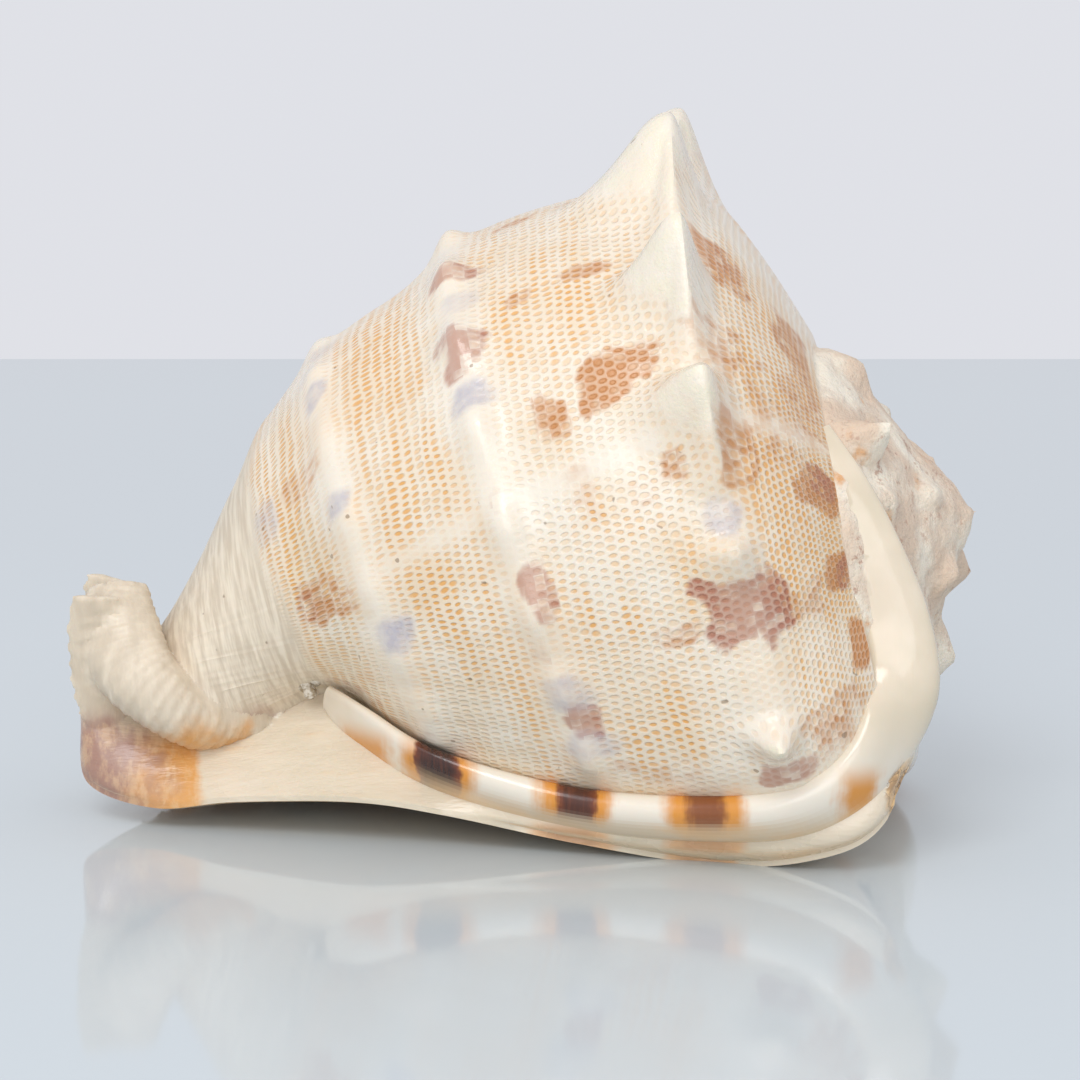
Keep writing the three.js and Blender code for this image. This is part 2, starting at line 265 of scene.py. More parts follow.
def makeHollow():
    # the room inside the whorl, with a flat floor above the table
    def shape(around, along):
        degrees = np.interp(around, [0, 1], [-180, 180])
        place, radius = whorlRadius(0.02 + 0.92 * along, np.clip(degrees, -132, 128))
        inner = np.maximum(radius - whorl["wall"], 3)
        flat = smoothStep(np.abs(degrees), 128, 150)
        above = axisStart[2] + place * axisAlong[2] - whorl["hollowFloor"]
        depth = above / np.maximum(-np.cos(np.radians(degrees)), 0.5)
        inner = np.where(flat > 0, np.minimum(inner, np.maximum(depth, 4)), inner)
        return aroundAxis(place - 3.0, inner, degrees)
    return lofted("hollow", "inside", 72, 40, shape)


slit = {
    # centre line of the mouth from the canal to its spire end, and its half width
    "path": [
        (-92, 12, 4), (-72, 20, 6), (-46, 26, 9), (-10, 27, 11), (26, 27, 12), (52, 24, 10), (64, 20, 5),
    ],
    "depth": 40, "below": 12,
}


def makeSlit():
    def shape(around, along):
        rows = smoothRows(slit["path"], along)
        angle = around * 2 * math.pi
        across = np.cos(angle) * rows[:, 2]
        rise = np.sign(np.sin(angle)) * np.abs(np.sin(angle)) ** 0.4 * slit["depth"] / 2
        return np.stack([rows[:, 0], rows[:, 1] + across, rise + slit["depth"] / 2 - slit["below"]], 1)
    return lofted("slit", "inside", 28, 48, shape)


# the spire and the columella, one solid of revolution

spire = {
    # place along the axis and radius
    "profile": [
        (214, 0.2), (211, 6), (205, 15), (199, 26), (193, 37), (186, 46.5),
        (178, 48), (166, 36), (150, 25), (120, 18), (90, 14), (60, 11), (30, 8), (12, 5),
    ],
    # degrees, place, height, foot
    "horns": [
        (49, 190, 12, 6), (4, 191, 5, 6), (-52, 192, 8, 7), (-92, 193, 8, 7),
        (-135, 194, 7, 6), (176, 196, 8, 6), (130, 194, 6, 6), (70, 193, 4, 6),
        (-30, 204, 3, 4), (60, 204, 3, 4), (-110, 204, 3, 4), (-161, 205, 6, 5), (130, 204, 4, 4),
    ],
    "aroundSteps": 150, "alongSteps": 90,
}


def makeSpire():
    def shape(around, along):
        degrees = around * 360 - 180
        rows = smoothRows(spire["profile"], along ** 1.25)
        place, radius = rows[:, 0], np.maximum(rows[:, 1], 0.15)
        base = aroundAxis(place, radius, degrees)
        outside = smoothStep(place, 180, 188)
        height = np.zeros_like(place)
        for at, hornPlace, tall, foot in spire["horns"]:
            swing = (degrees - at + 180) % 360 - 180
            d = np.sqrt(((place - hornPlace) / foot) ** 2 * 1.5 + (np.radians(swing) * radius / foot) ** 2)
            height = np.maximum(height, tall * np.clip(1 - d, 0, 1) ** 1.1)
        rough = 1.5 * wander(base, 11, 1.3) + 1.3 * np.abs(wander(base, 5, 8.0))
        rough = rough + 0.5 * wander(base, 2.4, 2.0) - 0.5
        turnStep = ((degrees + 180) / 360 + (place - 185) / 9.0) % 1.0
        suture = -1.4 * bump(turnStep - 0.5, 0.12)
        columellaFolds = 0.9 * np.sin(place * 0.55 + np.radians(degrees)) * smoothStep(-place, -150, -120)
        radius = radius + outside * (rough + suture + 0.35 * height) + columellaFolds
        return aroundAxis(place + outside * 0.85 * height, np.maximum(radius, 0.1), degrees)
    return lofted("spireCone", "spire", spire["aroundSteps"], spire["alongSteps"], shape)


# the parietal shield, spread over the front below the whorl

shield = {
    # stations from the canal to the spire: thin rim, crest, root in the whorl, inner edge by the mouth
    "stations": [
        ((-108, -1, 22), (-104, -4, 30), (-92, 6, 32), (-98, 4, 12)),
        ((-106, -6, 9), (-98, -8, 18), (-84, 6, 32), (-90, 8, 3)),
        ((-89, -15, 5), (-82, -11, 15), (-74, 8, 33), (-76, 11, 3)),
        ((-69, -21, 8), (-63, -11, 19), (-58, 8, 35), (-60, 12, 3)),
        ((-40, -29, 10), (-39, -17, 21), (-42, 2, 36), (-34, 13, 3)),
        ((-18, -34, 8), (-18, -26, 17), (-20, -8, 32), (-14, 14, 3)),
        ((12, -40, 3), (11, -40, 12), (10, -20, 28), (10, 15, 3)),
        ((44, -45, -1), (42, -48, 12), (40, -26, 34), (36, 15, 3)),
        ((66, -53, 2), (62, -54, 16), (58, -28, 42), (56, 15, 4)),
        ((82, -56, 10), (76, -55, 22), (66, -26, 50), (70, 10, 8)),
        ((91, -50, 28), (85, -49, 38), (70, -20, 56), (76, 0, 26)),
        ((91, -43, 46), (84, -43, 54), (70, -18, 64), (78, -8, 46)),
        ((85, -37, 66), (81, -38, 72), (68, -16, 76), (74, -12, 62)),
        ((75, -29, 88), (73, -30, 89), (66, -10, 84), (70, -10, 78)),
    ],
    "rimThickness": 1.5,
    "rimBars": [(12, 8, 0.5), (42, 8, 0.35)],
    "chip": (90, -55, 19), "chipSize": 7.5,
    "aroundSteps": 56, "alongSteps": 150,
}


def makeShield():
    flat = [sum(station, ()) for station in shield["stations"]]

    def shape(around, along):
        rows = smoothRows(flat, along)
        rim, crest, root, inner = (rows[:, i:i + 3] for i in (0, 3, 6, 9))
        edge = np.array([0, 0, shield["rimThickness"]])
        # round the section: rim to root over the crest, down to the inner edge, back under to the rim
        t = np.clip(around / 0.5, 0, 1)[:, None]
        control = 2 * crest - 0.5 * (rim + edge) - 0.5 * root
        over = (1 - t) ** 2 * (rim + edge) + 2 * t * (1 - t) * control + t ** 2 * root
        down = np.clip((around - 0.5) / 0.14, 0, 1)[:, None]
        side = root + (inner - root) * down
        back = np.clip((around - 0.64) / 0.34, 0, 1)[:, None]
        belly = np.array([0, 0, -1.0]) * np.sin(math.pi * back)
        under = inner + (rim - inner) * back + belly
        close = np.clip((around - 0.98) / 0.02, 0, 1)[:, None]
        points = np.where(around[:, None] < 0.5, over, side)
        points = np.where(around[:, None] > 0.64, under, points)
        points = points + edge * close * (around[:, None] > 0.98)
        swell = 0.35 * wander(points, 26, 2.0) * np.sin(math.pi * t[:, 0]) * (around < 0.5)
        points[:, 2] += swell
        return points
    return lofted("shieldPlate", "callus", shield["aroundSteps"], shield["alongSteps"], shape)


# the glossy varix band along the edge of the whorl

varix = {
    # centre line of the glossy roll, its half width across and its half thickness
    "path": [
        (-47, -9, 31, 4, 1.4), (-38, -17, 25, 8.5, 2.2), (-20, -28.5, 17, 9, 3.2), (11, -41, 12, 7, 4),
        (41, -51.5, 12, 7, 4.2), (64, -57.5, 15.5, 8, 4.5),
        (78.5, -57, 25, 9, 4.5), (86.5, -50.5, 40, 9.5, 4.2),
        (85, -46.5, 56, 9.5, 3.4), (78, -46, 73, 9.5, 2.8), (71.5, -43, 88, 8, 2.4), (66.5, -38, 100, 5, 1.5),
    ],
    # middle along X in the frame, half width, and how dark the middle is
    "bars": [(-38, 6.2, 0.1), (-20.5, 8.0, 1.0), (12, 8.4, 0.8), (42, 8.2, 0.5), (77, 4.0, 0.08)],
    "aroundSteps": 36, "alongSteps": 150,
}


def rolledAlong(name, slotName, path, aroundSteps, alongSteps, power=1.0):
    # a roll of oval section, its width lying along the shell's surface
    def shape(around, along):
        rows = smoothRows(path, along)
        ahead = smoothRows(path, np.minimum(along + 0.01, 1))
        behind = smoothRows(path, np.maximum(along - 0.01, 0))
        heading = unit(ahead[:, :3] - behind[:, :3])
        place, radius, degrees = fromPoints(rows[:, :3])
        outward = unit(rows[:, :3] - aroundAxis(place, radius * 0, degrees))
        side = unit(np.cross(heading, outward))
        outward = np.cross(side, heading)
        angle = around * 2 * math.pi
        c, s = np.cos(angle), np.sin(angle)
        across = np.sign(c) * np.abs(c) ** power * rows[:, 3]
        rise = np.sign(s) * np.abs(s) ** power * rows[:, 4]
        return rows[:, :3] + side * across[:, None] + outward * rise[:, None]
    return lofted(name, slotName, aroundSteps, alongSteps, shape)


def makeVarix():
    return rolledAlong("varixBand", "varix", varix["path"], varix["aroundSteps"], varix["alongSteps"], 0.85)


# the thick outer lip that the shell rests on, and its teeth

lip = {
    # centre, half width and half height of the thick roll
    "path": [
        (-92, 27, 16, 7, 8), (-76, 32, 10, 10, 10), (-52, 42, 8.4, 15, 9.5), (-24, 52, 8.4, 19, 9.5),
        (6, 58, 8.4, 21, 9.5), (34, 59, 8.4, 21, 9.5), (58, 53, 8.4, 20, 9.5), (76, 38, 10, 18, 10),
        (84, 16, 14, 15, 11), (82, -4, 22, 12, 12),
    ],
    "teeth": (-26, -12, 2, 16, 30, 43), "toothSize": (4.2, 7.5, 5.0),
    # middle along X, half width and darkness of the bars on the turned-up margin
    "bars": [(-58, 4.5, 0.6), (-28, 6.0, 0.95), (2, 7.0, 1.0), (32, 7.0, 0.9), (60, 6.0, 0.6)],
    "aroundSteps": 56, "alongSteps": 110,
}


def lipAt(along):
    rows = smoothRows(lip["path"], along)
    ahead = smoothRows(lip["path"], np.minimum(along + 0.02, 1))
    behind = smoothRows(lip["path"], np.maximum(along - 0.02, 0))
    heading = np.arctan2(ahead[:, 1] - behind[:, 1], ahead[:, 0] - behind[:, 0])
    return rows, heading


def makeLip():
    def shape(around, along):
        rows, heading = lipAt(along)
        angle = around * 2 * math.pi
        c, s = np.cos(angle), np.sin(angle)
        across = np.sign(c) * np.abs(c) ** 0.75 * rows[:, 3]
        rise = np.sign(s) * np.abs(s) ** 0.75 * rows[:, 4]
        # the margin turns up on the outside and the inner edge is scalloped by the teeth
        rise += np.where(s > 0, 3.5 * bump(across - rows[:, 3] * 0.86, 4.5), 0)
        swell = 0.5 * wander(np.stack([rows[:, 0], across, rise], 1), 18, 4.0)
        rise = np.where(s < -0.2, rise, rise + swell)
        x = rows[:, 0] - across * np.sin(heading)
        y = rows[:, 1] + across * np.cos(heading)
        return np.stack([x, y, rows[:, 2] + rise], 1)
    return lofted("outerLip", "varix", lip["aroundSteps"], lip["alongSteps"], shape)


def makeTeeth():
    alongs = np.linspace(0, 1, 400)
    rows, _ = lipAt(alongs)
    teeth = []
    for number, place in enumerate(lip["teeth"]):
        row = rows[np.argmax(rows[:, 0] > place)]
        bm = bmesh.new()
        bmesh.ops.create_uvsphere(bm, u_segments=20, v_segments=12, radius=1)
        size = np.array(lip["toothSize"]) * (1.0 - 0.06 * abs(number - 2.5))
        centre = np.array([place, row[1] - row[3] + 1.5, row[2] - 1.5])
        setPoints(bm, np.array([v.co for v in bm.verts]) * size + centre)
        teeth.append(finishMesh(bm, f"lipTooth{number + 1}", "callus"))
    return teeth


# the canal gutter and the ribbed column beside it

canal = {
    # line along the gutter's floor
    "floor": [(-62, 16, 17), (-78, 15, 15), (-91, 11, 19), (-97, 7, 32), (-98, 3.5, 45), (-96.5, 1, 56)],
    "width": 15.0, "depth": 15.0, "wall": 3.6, "sweep": 100,
    "aroundSteps": 48, "alongSteps": 50,
    "evenStep": 0.95, "blendRounds": 12,
}

fasciole = {
    # centre line of the ribbed column beside the neck, its half width and half thickness
    "path": [
        (-98, 0, 57, 8, 5), (-98, -4, 49, 10, 7), (-94, -9.5, 39, 10, 8), (-86.5, -12, 31.5, 8.5, 8),
        (-78.5, -10, 26, 8, 6.5), (-70, -3, 22, 9, 4.5), (-60, 6, 18, 9, 3),
    ],
    "ribs": 27, "ribHeight": 0.2, "reach": (9, 13),
    "aroundSteps": 24, "alongSteps": 50,
}


def makeCanal():
    def shape(around, along):
        floor = smoothRows(canal["floor"], along)
        ahead = smoothRows(canal["floor"], np.minimum(along + 0.02, 1))
        behind = smoothRows(canal["floor"], np.maximum(along - 0.02, 0))
        heading = unit(ahead - behind)
        outward = unit(np.stack([-heading[:, 2], heading[:, 0] * 0, heading[:, 0]], 1))
        # out along the gutter's outer face, then back along its inner face
        outer = around < 0.5
        across = np.where(outer, around * 2, 2 - around * 2)
        angle = (across * 2 - 1) * math.radians(canal["sweep"])
        thin = np.where(outer, 0, canal["wall"] * (1 - 0.55 * np.abs(across * 2 - 1) ** 3))
        width = canal["width"] - thin
        deep = canal["depth"] - thin
        rise = deep * (1 - np.cos(angle)) * 0.8 - np.where(outer, canal["wall"], 0)
        return floor + np.array([0, 1, 0]) * (np.sin(angle) * width)[:, None] + outward * rise[:, None]
    return lofted("canalGutter", "canal", canal["aroundSteps"], canal["alongSteps"], shape)


def makeFasciole():
    steps = fasciole["aroundSteps"], fasciole["alongSteps"]
    return rolledAlong("fascioleColumn", "canal", fasciole["path"], *steps)


def addRibs(mesh):
    # growth ribs across the column, and broad low folds over it and the gutter
    points = meshPoints(mesh)
    normals = np.empty(len(points) * 3)
    mesh.vertices.foreach_get("normal", normals)
    samples = np.linspace(0, 1, 160)
    line = smoothRows(fasciole["path"], samples)[:, :3]
    distances = np.linalg.norm(points[:, None] - line[None], axis=2)
    nearest = samples[distances.argmin(axis=1)]
    close = 1 - smoothStep(distances.min(axis=1), *fasciole["reach"])
    sway = wander(points, 18, 6.0)
    ribs = np.sin((nearest * fasciole["ribs"] + 0.7 * sway) * 2 * math.pi)
    folds = np.sin((nearest * fasciole["ribs"] * 0.4 + 0.5 * sway) * 2 * math.pi)
    height = fasciole["ribHeight"] * (ribs * close + 0.3 * folds) + 0.35 * wander(points, 16, 9.0)
    points += normals.reshape(-1, 3) * height[:, None]
    mesh.vertices.foreach_set("co", ((points + workShift) * mm).ravel())


def makeFrontEnd():
    piece, column = makeCanal(), makeFasciole()
    combine(piece, column, "UNION")
    even = piece.modifiers.new("even", "REMESH")
    even.mode, even.voxel_size = "VOXEL", canal["evenStep"] * mm
    blend = piece.modifiers.new("blend", "SMOOTH")
    blend.iterations = canal["blendRounds"]
    mesh = bakeMesh(piece)
    bpy.data.objects.remove(column)
    addRibs(mesh)
    for polygon in mesh.polygons:
        polygon.material_index = slots.index("canal")
        polygon.use_smooth = True
    piece.modifiers.clear()
    piece.data = mesh
    return piece


# markings, kept as attributes of the points

marks = {
    # place along the axis, degrees, half size along the axis and along the growth, strength
    "brown": [
        (138, 48, 6, 6.5, 1.0), (125, 51, 4, 5, 0.75), (122, 28, 3.5, 3, 0.75), (121, 3, 6, 3, 0.6),
        (138, 1, 7, 3, 0.6), (152, 4, 8, 3, 0.7), (138, 26, 6, 3, 0.65), (147, 45, 7, 5, 0.75),
        (165, 45, 6, 7, 0.6), (168, 24, 5, 6, 0.8), (152, 63, 3.5, 3.5, 0.7), (166, 63, 4, 9, 0.7),
        (180, 68, 4, 5, 1.0), (182, 88, 4, 4, 0.9), (182, 108, 2, 5, 0.9), (62, 66, 7, 6, 0.75),
        (144, 92, 6, 3.5, 0.6), (173, 116, 7, 8, 0.6), (170, 29, 4, 3, 0.7), (180, 28, 3, 8, 0.8),
        (61, 37, 6, 6, 0.5), (129, 64, 5, 7, 0.45), (144, 66, 5, 5, 0.4), (132, 122, 14, 4, 0.45),
        (172, 92, 6, 5, 0.6), (176, 55, 6, 14, 0.5), (181, 45, 3, 12, 0.6), (66, 96, 6, 4, 0.4),
    ],
    "purple": [
        (158, 89, 8, 8, 1.0), (166, 91, 4, 9, 0.9), (161, 122, 7, 4.5, 0.85), (107, 35, 6, 6, 0.85),
        (107, 17, 7, 3, 0.8), (115, 79, 4, 7, 0.75), (117, 108, 5, 6, 0.85), (181, 66, 2.5, 4, 0.7),
        (183, 89, 2.5, 4, 0.7), (56, 66, 3, 5, 0.5), (59, 108, 9, 3, 0.5), (111, 62, 3, 4, 0.4),
        (76, 118, 12, 2, 0.35), (168, 24, 3, 4, 0.4), (112, 92, 3, 5, 0.4),
    ],
    "grey": [
        (108, 43, 4.5, 3.5, 0.9), (159, 73, 4, 4, 0.7), (68, 22, 3.5, 3, 0.8), (71, 49, 3.5, 3, 0.8),
        (78, 82, 4, 4, 1.0), (115, 101, 5, 4, 0.7), (50, 37, 3, 4, 0.6), (108, 24, 5, 3, 0.5),
        (118, 114, 6, 4, 0.6), (69, 6, 3.5, 3, 0.5),
    ],
    "orangeField": [
        (93, 64, 13, 17, 1.0), (87, 54, 12, 15, 1.0), (86, 27, 12, 16, 1.0), (175, 60, 9, 30, 0.9),
        (125, 40, 16, 24, 0.35), (60, 60, 12, 16, 0.85), (128, 100, 22, 18, 0.5), (97, 86, 9, 14, 0.4),
        (176, 30, 8, 20, 0.7), (61, 34, 9, 10, 0.5), (72, 100, 10, 10, 0.4), (150, 45, 12, 12, 0.3),
    ],
    "farSpacing": 23,
    # one pit's size along the growth and along the axis
    "pitPitch": (1.95, 2.5),
    # pits are longer towards the canal: place of the longest, place where they have shortened, longest size
    "longPits": (60, 115, 3.5),
}


def markStrength(kind, place, degrees, radius, warp):
    total = np.zeros_like(place)
    for at, middle, halfPlace, halfGrowth, strength in kind:
        a = (place - at) / halfPlace + warp[:, 0]
        g = np.radians(degrees - middle) * radius / halfGrowth + warp[:, 1]
        d = (np.abs(a) ** 3 + np.abs(g) ** 3) ** (1 / 3)
        total = np.maximum(total, strength * smoothStep(-d, -1.35, -0.75))
    return total


def farMarks():
    # the same kinds of blotches, carried on over the side turned away
    brown, purple, grey, field = [], [], [], []
    for step, degrees in enumerate(range(-24, -132, -marks["farSpacing"])):
        sway = 6 * math.sin(step * 2.3)
        brown += [(138 + sway, degrees, 7, 6, 0.85), (122 - sway, degrees - 9, 5, 4, 0.7)]
        brown += [(176 + sway / 3, degrees + 6, 6, 7, 0.8), (85 + sway, degrees + 3, 6, 6, 0.6)]
        purple += [(104, degrees + 4, 6, 6, 0.85), (159, degrees + 11, 7, 6, 0.8), (58, degrees, 5, 6, 0.5)]
        grey += [(104, degrees - 6, 5, 4, 0.8), (67, degrees - 4, 4, 4, 0.8)]
        field += [(120 + sway, degrees - 4, 18, 16, 0.6), (86, degrees + 9, 11, 13, 0.7)]
        field += [(174, degrees, 9, 16, 0.8)]
    return {"brown": brown, "purple": purple, "grey": grey, "orangeField": field}


def enamelShares(place, degrees):
    # smooth white enamel round the horns and cords and on the old growth band
    rows = np.array(whorl["profile"][::-1], float)
    wall = np.interp(place, rows[:, 0], rows[:, 1])
    horn = smoothStep(hornShape(place, degrees, wall), 2.2, 7.0)
    cordSmooth = bump(place - whorl["shoulder"], 6) * 0.75
    for cord in whorl["cords"][:2]:
        cordSmooth = np.maximum(cordSmooth, bump(place - cordPlace(cord, degrees), 6.5))
    bandMiddle = 58 + (158 - place) * 0.10
    growthBand = bump(degrees - bandMiddle, 2.6) * smoothStep(place, 66, 80) * 0.9
    edgeFade = smoothStep(degrees, 112, 128) * smoothStep(place, 118, 150)
    smooth = np.maximum.reduce([horn, cordSmooth * 0.92, growthBand, edgeFade * 0.8])
    return horn, np.clip(smooth, 0, 1)


def pitCounts(place, degrees):
    # counts of pits along the growth and along the axis, so that one pit is one unit square
    steps = np.linspace(-180, 180, 721)
    _, top, near, far = whorl["profile"][3]  # the widest turn sets how many pits go round
    radii = top + (near - top) * smoothStep(steps, whorl["nearStart"], whorl["nearEdge"])
    radii = radii + (far - top) * smoothStep(-steps, -whorl["farStart"], -whorl["farEdge"])
    threads = np.concatenate([[0], np.cumsum(np.radians(0.5) * (radii[1:] + radii[:-1]) / 2)])
    rows = np.array(whorl["profile"], float)
    arc = np.concatenate([[0], np.cumsum(np.hypot(np.diff(rows[:, 0]), np.diff(rows[:, 1])))])
    pitch = np.interp(rows[:, 0], marks["longPits"][:2], [marks["longPits"][2], marks["pitPitch"][1]])
    counts = np.concatenate([[0], np.cumsum(np.diff(arc) * 2 / (pitch[1:] + pitch[:-1]))])
    u = np.interp(degrees, steps, threads) / marks["pitPitch"][0]
    return u, np.interp(-place, -rows[:, 0], counts)


def paintAttributes(mesh):
    count = len(mesh.vertices)
    points = meshPoints(mesh)
    place, radius, degrees = fromPoints(points)
    far = farMarks()
    warp = np.stack([wander(points, 7, 11.0), wander(points, 7, 17.0)], 1) * 0.55
    layers = {}
    for kind, found in marks.items():
        if kind in far:
            layers[kind] = markStrength(found + far[kind], place, degrees, radius, warp)

    horn, smooth = enamelShares(place, degrees)
    neckEdge = 47 + 8 * smoothStep(degrees, 20, 120) + 2.5 * wander(points, 12, 4.4)
    neck = smoothStep(neckEdge - place, -3, 4)
    u, v = pitCounts(place, degrees)
    ramp = smoothStep(place, 158, 166)  # from the shoulder on towards the spire

    def store(name, *parts):
        layer = mesh.attributes.new(name, "FLOAT_COLOR", "POINT")
        full = [p if isinstance(p, np.ndarray) else np.full(count, float(p)) for p in parts]
        layer.data.foreach_set("color", np.stack(full, 1).astype(np.float32).ravel())

    store("blotches", layers["brown"], layers["purple"], layers["grey"], layers["orangeField"])
    chip = np.linalg.norm(points - shield["chip"], axis=1) + 1.5 * wander(points, 3, 2.0)
    store("finish", smooth, neck, horn, smoothStep(-chip, -shield["chipSize"], 1.5 - shield["chipSize"]))
    store("lattice", u, v, ramp, 1)


# materials

class Shader:
    # short hands for building one material's nodes
    def __init__(self, name):
        self.material = bpy.data.materials.new(name)
        self.material.use_nodes = True
        self.tree = self.material.node_tree
        self.bsdf = self.tree.nodes["Principled BSDF"]
        self.coords = self.tree.nodes.new("ShaderNodeTexCoord").outputs["Object"]

    def node(self, kind, inputs=None, **settings):
        made = self.tree.nodes.new(kind)
        for key, value in settings.items():
            setattr(made, key, value)
        for key, value in (inputs or {}).items():
            self.put(made.inputs[key], value)
        return made

    def put(self, socket, value):
        if isinstance(value, bpy.types.NodeSocket):
            self.tree.links.new(value, socket)
        else:
            socket.default_value = value

    def math(self, operation, a, b=0.0, c=0.0, clamp=False):
        made = self.node("ShaderNodeMath", {0: a, 1: b, 2: c}, operation=operation)
        made.use_clamp = clamp
        return made.outputs[0]

    def times(self, a, b, clamp=False):
        return self.math("MULTIPLY", a, b, clamp=clamp)

    def plus(self, a, b, clamp=False):
        return self.math("ADD", a, b, clamp=clamp)

    def minus(self, a, b, clamp=False):
        return self.math("SUBTRACT", a, b, clamp=clamp)

    def mix(self, share, a, b):
        made = self.node("ShaderNodeMix", data_type="RGBA")
        self.put(made.inputs[0], share)
        self.put(made.inputs[6], (*a, 1) if isinstance(a, tuple) else a)
        self.put(made.inputs[7], (*b, 1) if isinstance(b, tuple) else b)
        return made.outputs[2]

    def fit(self, value, low, high, toLow=0.0, toHigh=1.0):
        inputs = {"Value": value, "From Min": low, "From Max": high, "To Min": toLow, "To Max": toHigh}
        return self.node("ShaderNodeMapRange", inputs, interpolation_type="SMOOTHSTEP").outputs[0]

    def attribute(self, name):
        made = self.node("ShaderNodeAttribute", attribute_name=name)
        parts = self.node("ShaderNodeSeparateColor", {"Color": made.outputs["Color"]})
        return (*parts.outputs[:3], made.outputs["Alpha"], made.outputs["Vector"])

    def noise(self, scale, detail=3.0, vector=None, roughness=0.55):
        inputs = {"Vector": vector or self.coords, "Scale": scale, "Detail": detail, "Roughness": roughness}
        return self.node("ShaderNodeTexNoise", inputs).outputs["Fac"]

    def scaled(self, vector, x, y, z=0.0):
        return self.node("ShaderNodeVectorMath", {0: vector, 1: (x, y, z)}, operation="MULTIPLY").outputs[0]

    def split(self, vector):
        return self.node("ShaderNodeSeparateXYZ", {0: vector}).outputs

    def stretched(self, x, y, z):
        return self.node("ShaderNodeMapping", {"Vector": self.coords, "Scale": (x, y, z)}).outputs[0]

    def bump(self, height, distance, strength=1.0, normal=None):
        inputs = {"Height": height, "Distance": distance, "Strength": strength}
        if normal:
            inputs["Normal"] = normal
        return self.node("ShaderNodeBump", inputs).outputs[0]

    def underTintAndPaintedShade(self, colour):
        # orange-brown callus colour on whatever faces the table, deepest beside the mouth; partly painted
        # shade, standing in for the warm shadow under the rim
        facing = self.split(self.node("ShaderNodeNewGeometry").outputs["True Normal"])
        at = self.split(self.coords)
        low = self.times(self.fit(facing[2], -0.35, -0.8), self.fit(at[2], 0.024, 0.012))
        sway = self.fit(self.noise(28, 3), 0.3, 0.7, -0.008, 0.008)
        toMouth = self.math("ABSOLUTE", self.minus(self.plus(at[1], sway), 0.014))
        tone = self.mix(self.fit(toMouth, 0.004, 0.034), colours["underside"], colours["peach"])
        tone = self.mix(self.fit(self.noise(45, 4), 0.42, 0.66, 0, 0.7), tone, colours["callus"])
        return self.mix(low, colour, tone)

    def finish(self, colour, roughness, normal, coat=0.0, subsurface=0.0):
        # the base colour takes the orange-brown underside tone, partly painted shade under the rim
        self.put(self.bsdf.inputs["Base Color"], self.underTintAndPaintedShade(colour))
        self.put(self.bsdf.inputs["Roughness"], roughness)
        self.put(self.bsdf.inputs["Normal"], normal)
        self.bsdf.inputs["IOR"].default_value = 1.53
        self.bsdf.inputs["Coat Weight"].default_value = coat
        self.bsdf.inputs["Coat Roughness"].default_value = 0.12
        if subsurface:
            self.bsdf.inputs["Subsurface Weight"].default_value = subsurface
            self.bsdf.inputs["Subsurface Radius"].default_value = (1.0, 0.6, 0.35)
            self.bsdf.inputs["Subsurface Scale"].default_value = 0.003
        return self.material


colours = {
    "ivory": (0.80, 0.69, 0.54), "enamel": (0.85, 0.78, 0.665), "pit": (0.78, 0.40, 0.12),
    "palePit": (0.80, 0.54, 0.28), "brown": (0.54, 0.21, 0.05), "purple": (0.41, 0.145, 0.085),
    "grey": (0.42, 0.40, 0.47), "neck": (0.82, 0.72, 0.57), "hornTip": (0.82, 0.76, 0.58),
    "callus": (0.70, 0.61, 0.46), "barDark": (0.035, 0.010, 0.006), "barRed": (0.20, 0.045, 0.012),
    "barOrange": (0.72, 0.30, 0.045), "wornPink": (0.74, 0.58, 0.44), "wornPale": (0.90, 0.82, 0.68),
    "spireSpeck": (0.45, 0.24, 0.16), "canalBrown": (0.38, 0.20, 0.15), "canalOrange": (0.72, 0.34, 0.08),
    "bone": (0.64, 0.54, 0.41), "dirt": (0.22, 0.14, 0.08), "peach": (0.80, 0.55, 0.31),
    # underside: orange-brown of the mouth, also laid on faces toward the table as partly painted shade under
    # the rim
    "underside": (0.72, 0.33, 0.09), "rawTan": (0.50, 0.31, 0.16),
    "gritPale": (0.74, 0.68, 0.58), "gritDark": (0.36, 0.28, 0.18),
}


